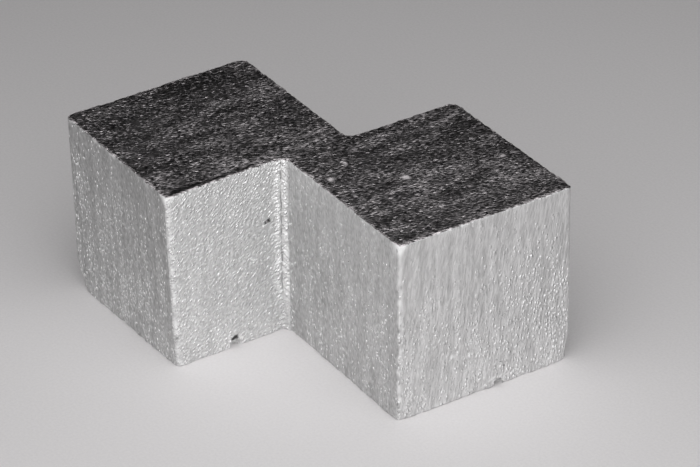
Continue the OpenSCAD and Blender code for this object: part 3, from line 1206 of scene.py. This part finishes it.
def cast_metal():
    """Bare cast aluminium with a dark skin on top, and painted highlights, glints and shade."""
    material, tree, shader = new_material("cast_aluminium")
    place = read_faces(tree)
    columns, patches, sweeps, crowd = read_crowds(tree, place)
    scratch, ripple, rows = read_relief(tree, place, crowd)
    feed(tree, bump_up(tree, place, scratch, ripple, rows), shader.inputs["Normal"])
    wear_and_painted_light = add_node(tree, "ShaderNodeAttribute", attribute_name="wear_and_painted_light")["Fac"]
    rubbed_and_lit = slope(tree, wear_and_painted_light, 0, 1)
    # wear and painted highlights: bright attribute places and the seam's bead rows, painted as
    # highlights
    worn_and_lit = maths(tree, "MAXIMUM", rubbed_and_lit, rows["Row"])
    # painted shade: the seam's crease, and places below 0 in the wear attribute (the trough, the
    # holes' far corners, the pits)
    crease = times(tree, rows["Crease"], CREASE_SHARE)
    painted_shade = maths(tree, "MAXIMUM", slope(tree, wear_and_painted_light, 0, -1), crease)
    spark = times(tree, scratch["Spark"], by_face(tree, place, SPARK_SHARES))
    tone = blend(tree, worn_and_lit, read_ground(tree, place, columns, sweeps, ripple), WORN_AND_LIT_SHADE)
    # painted glint: crests of marks are painted near white
    tone = blend(tree, spark, tone, CREST_GLINT_SHADE)
    tone = blend(tree, painted_shade, tone, PAINTED_SHADE_TONE)
    tint = {0: pick(tree, place["top"], (1, 1, 1), TOP_TINT), "Scale": tone}
    colour = add_node(tree, "ShaderNodeVectorMath", tint, operation="SCALE")[0]
    feed(tree, colour, shader.inputs["Base Color"])
    dull = blend(tree, place["top"], WALL_ROUGHNESS, TOP_ROUGHNESS)
    dull = blend(tree, worn_and_lit, dull, WORN_ROUGHNESS)
    feed(tree, blend(tree, spark, dull, CREST_ROUGHNESS), shader.inputs["Roughness"])
    film = read_film(tree, place, patches, sweeps, ripple, spark)
    film = times(tree, rubbed_and_lit, WORN_AND_LIT_FILM, film)
    film = times(tree, film, maths(tree, "SUBTRACT", 1, painted_shade))
    feed(tree, maths(tree, "SUBTRACT", 1, film), shader.inputs["Metallic"])
    return material


mesh.materials.append(cast_metal())
print("nodes in the metal:", len(mesh.materials[0].node_tree.nodes))

# %% [markdown]
# ## Floor
# The ingot was photographed on pale matt paper. Bare metal is only as bright as what it
# mirrors, so the floor reaches well past the picture and is as pale as the real sheet. A
# hint of grain keeps it from looking like plastic.

# %% Paper
FLOOR_HALF, PAPER_ROUGHNESS = 6, 0.7
PAPER_COLOUR, GRAIN_SHADE, GRAIN_SIZE = (0.81, 0.79, 0.796), 0.06, 0.7


def paper():
    """Pale matt paper."""
    material, tree, shader = new_material("floor_paper")
    shader.inputs["Roughness"].default_value = PAPER_ROUGHNESS
    where = add_node(tree, "ShaderNodeTexCoord")
    grain = fine_noise(tree, over(tree, where["Object"], [GRAIN_SIZE * MM] * 3), 2)
    shades = [[part + sign * GRAIN_SHADE for part in PAPER_COLOUR] for sign in (-1, 1)]
    feed(tree, pick(tree, grain, *shades), shader.inputs["Base Color"])
    return material


floor_mesh = bpy.data.meshes.new("floor")
floor_mesh.from_pydata(
    [(a * FLOOR_HALF, b * FLOOR_HALF, 0) for a, b in ((-1, -1), (1, -1), (1, 1), (-1, 1))],
    [], [(0, 1, 2, 3)])
floor = put_in_scene("floor", floor_mesh)
floor_mesh.materials.append(paper())
print("floor in m:", floor.dimensions[0])

# %% [markdown]
# ## Light
# The photograph has one soft lamp, high on the photographer's side: the paper is brightest
# in front and the ingot's shadow lies behind it. An area lamp with a narrowed spread gives
# that fall-off. The lamp stands a little ahead of the ingot, and the camera doesn't see it.

# %% The lamp
KEY_AZIMUTH, KEY_ELEVATION, KEY_DISTANCE = 62.7, 62.7, 0.311
KEY_SIZE, KEY_POWER, KEY_SPREAD, KEY_AHEAD = 0.6, 0.882, 121, 0.081


def hang_lamp():
    """A square lamp that faces a point ahead of the ingot and isn't seen itself."""
    data = bpy.data.lights.new("key", "AREA")
    data.shape = "SQUARE"
    data.size = KEY_SIZE
    data.energy = KEY_POWER
    data.spread = math.radians(KEY_SPREAD)
    lamp = put_in_scene("key", data)
    away = towards(math.radians(KEY_AZIMUTH), math.radians(KEY_ELEVATION))
    lamp.location = away * KEY_DISTANCE + towards(CAMERA_AZIMUTH, 0) * KEY_AHEAD
    lamp.rotation_euler = away.to_track_quat("Z", "Y").to_euler()
    lamp.visible_camera = False
    return lamp


lamp = hang_lamp()
print("lamp at:", [round(part, 2) for part in lamp.location])

# %% [markdown]
# ## Room
# The ingot's top mirrors the far side of the room, which is nearly dark. Its crests and the
# marks on the walls mirror a long low window behind the photographer. Both are painted on
# the world, by the height and the direction of each part of the sky, because a real window
# frame would have to be huge.

# %% A dim room with a low window
ROOM_LIGHT, WINDOW_LIGHT = 0.004, 1.141
WINDOW_FOOT, WINDOW_HEAD, WINDOW_SIDES = (0, 0.1), (0.35, 0.5), (-0.4, 0)
WINDOW_AZIMUTH = 30


def room():
    """A dim room with a long low window on the photographer's side."""
    world = bpy.data.worlds.new("studio")
    world.use_nodes = True
    tree = world.node_tree
    sky = add_node(tree, "ShaderNodeTexCoord")["Generated"]
    level = split(tree, sky)[2]
    ways = {0: sky, 1: towards(math.radians(WINDOW_AZIMUTH), 0)}
    facing = add_node(tree, "ShaderNodeVectorMath", ways, operation="DOT_PRODUCT")["Value"]
    above, foot = slope(tree, level, *WINDOW_HEAD), slope(tree, level, *WINDOW_FOOT)
    window = maths(tree, "SUBTRACT", foot, above)
    window = times(tree, window, slope(tree, facing, *WINDOW_SIDES))
    light = times(tree, window, WINDOW_LIGHT, ROOM_LIGHT)
    feed(tree, light, tree.nodes["Background"].inputs["Color"])
    return world


bpy.context.scene.world = room()
print("world:", bpy.context.scene.world.name)

# %% [markdown]
# ## Hand over
# The skin stands for the CAD solid and rides on the only body. The two boxes are written
# down, so that the skin's size can be checked against the CAD part's.

# %% Hand over
bpy.context.scene.view_settings.view_transform = "Standard"
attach(ingot, "root")
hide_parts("ingot")
